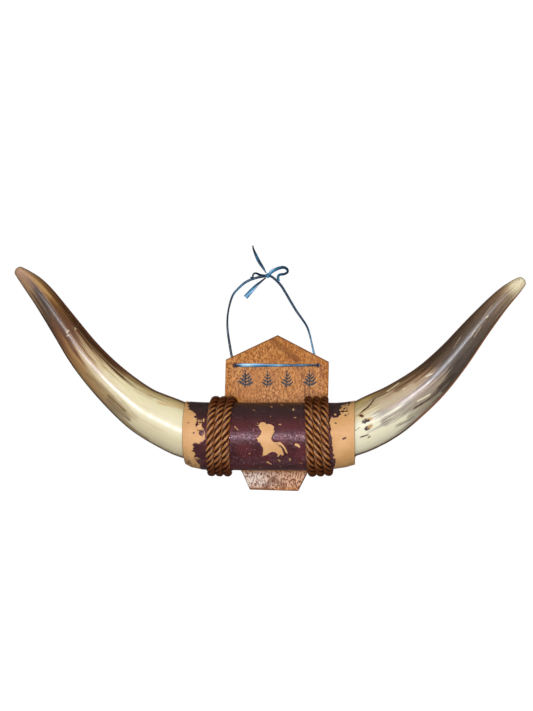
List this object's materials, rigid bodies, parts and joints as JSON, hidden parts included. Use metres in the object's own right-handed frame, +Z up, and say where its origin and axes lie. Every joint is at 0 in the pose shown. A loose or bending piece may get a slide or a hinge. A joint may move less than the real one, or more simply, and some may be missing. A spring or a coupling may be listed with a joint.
{
  "type": "bull horn wall hanging",
  "caption": "Curved bull horns joined in a rope-lashed, peeling leather-like sleeve on a shield-shaped wooden plaque that hangs from a curled ribbon.",
  "frame": {"origin": "middle of the plaque's flat back, level with the sleeve's axis", "axes": "+Y out of the plaque's back, into the wall; +Z up; +X towards the dark horn, the right-hand one seen from the front"},
  "size_m": [0.5955, 0.1063, 0.3013],
  "materials": {
    "horn_pale": "polished horn, cream at the base and brown towards the tip",
    "horn_dark": "polished horn, cream at the base and dark grey-brown above, pale tip",
    "core_wood": "plain turned softwood",
    "sleeve_skin": "satin maroon skin, peeled to tan backing in places",
    "rope_fibre": "laid natural fibre rope, golden brown",
    "plaque_wood": "lacquered reddish brown board",
    "screw_steel": "plain zinc-plated",
    "ribbon_film": "shiny blue curling ribbon"
  },
  "bodies": {
    "root": {"horn_left": "horn_pale", "horn_right": "horn_dark", "core_block": "core_wood", "sleeve": "sleeve_skin", "rope_left": "rope_fibre", "rope_right": "rope_fibre", "plaque": "plaque_wood", "screw_left": "screw_steel", "screw_right": "screw_steel", "front_ribbon": "ribbon_film", "hanging_ribbon": "ribbon_film", "ribbon_knot": "ribbon_film", "ribbon_bow_left": "ribbon_film", "ribbon_bow_right": "ribbon_film", "ribbon_tail_up": "ribbon_film", "ribbon_tail_down": "ribbon_film"}
  },
  "joints": []
}
